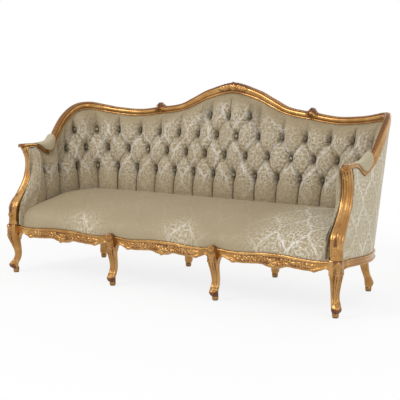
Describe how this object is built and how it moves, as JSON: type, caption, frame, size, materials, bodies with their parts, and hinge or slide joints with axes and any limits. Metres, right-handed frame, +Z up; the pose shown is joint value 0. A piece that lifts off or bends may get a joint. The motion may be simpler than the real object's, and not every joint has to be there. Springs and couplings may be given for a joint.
{
  "type": "cabriole sofa",
  "caption": "Three-seat cabriole sofa: carved gilt show-wood frame on cabriole legs, serpentine crest, deep-buttoned back and arms, padded arms and a crowned sprung seat.",
  "frame": {"origin": "on the floor under the middle of the bounding box", "axes": "+X to the right as seen from the front, -Y towards the front of the seat, +Z up"},
  "size_m": [2.0692, 0.7561, 1.055],
  "materials": {
    "gilt_wood": "antique gilding over red-brown bole, rubbed on the high places",
    "damask": "woven damask, silvery pattern on a beige ground",
    "outside_damask": "woven damask, paler",
    "beech": "bare sawn beech",
    "jute": "woven jute",
    "dust_cloth": "black cambric",
    "felt": "pressed felt",
    "steel": "plain screws"
  },
  "bodies": {
    "root": {"front_leg_left": "gilt_wood", "front_leg_inner_left": "gilt_wood", "front_leg_inner_right": "gilt_wood", "front_leg_right": "gilt_wood", "rear_leg_left": "gilt_wood", "rear_leg_inner_left": "gilt_wood", "rear_leg_inner_right": "gilt_wood", "rear_leg_right": "gilt_wood", "front_rail_left": "gilt_wood", "front_rail_centre": "gilt_wood", "front_rail_right": "gilt_wood", "side_rail_left": "gilt_wood", "side_rail_right": "gilt_wood", "back_rail": "gilt_wood", "arm_support_left": "gilt_wood", "arm_support_right": "gilt_wood", "arm_rail_left": "gilt_wood", "arm_rail_right": "gilt_wood", "wing_rail_left": "gilt_wood", "wing_rail_right": "gilt_wood", "crest_rail_left": "gilt_wood", "crest_rail_centre": "gilt_wood", "crest_rail_right": "gilt_wood", "back_post_left": "beech", "back_post_right": "beech", "corner_post_left": "beech", "corner_post_right": "beech", "wing_post_left": "beech", "wing_post_right": "beech", "tacking_rails": "beech", "cross_bar_left": "beech", "cross_bar_right": "beech", "corner_blocks": "beech", "corner_block_screws": "steel", "frame_dowels": "beech", "seat_webbing_long": "jute", "seat_webbing_cross": "jute", "seat_hessian": "jute", "seat_cushion": "damask", "inside_back": "damask", "inside_arm_left": "damask", "inside_arm_right": "damask", "tufting_buttons": "damask", "arm_pad_left": "damask", "arm_pad_right": "damask", "outside_back": "outside_damask", "outside_arm_left": "outside_damask", "outside_arm_right": "outside_damask", "dust_cover": "dust_cloth", "foot_glides": "felt"}
  },
  "joints": []
}
